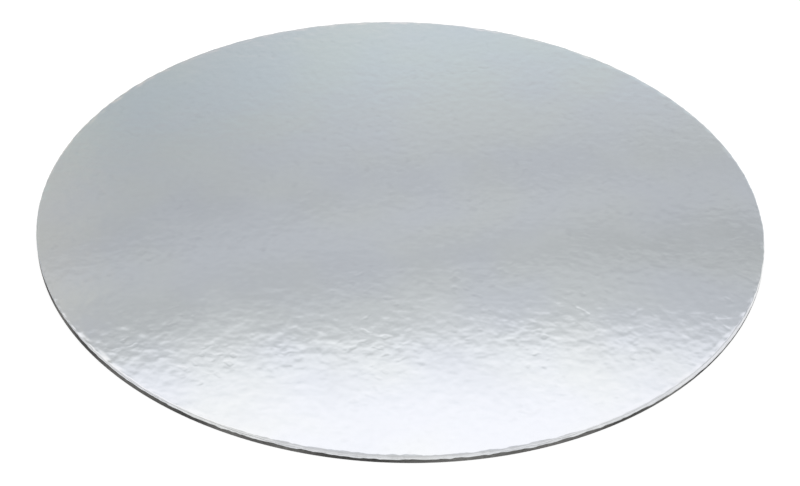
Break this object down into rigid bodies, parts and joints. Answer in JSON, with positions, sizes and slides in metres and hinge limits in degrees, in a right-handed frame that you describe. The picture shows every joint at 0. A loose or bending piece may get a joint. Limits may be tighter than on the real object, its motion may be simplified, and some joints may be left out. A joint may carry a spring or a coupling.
{
  "type": "cake board",
  "caption": "Thin round board with a bright silver foil face and a die-cut rim, for carrying and presenting a cake.",
  "frame": {"origin": "centre of the underside, on the surface that the board lies on", "axes": "+Z is the board's own axis, up through the foil face; the board is round, so X and Y are free"},
  "size_m": [0.3048, 0.3048, 0.003],
  "materials": {
    "silver_foil": "gloss"
  },
  "bodies": {
    "root": {"cake_board": "silver_foil"}
  },
  "joints": []
}
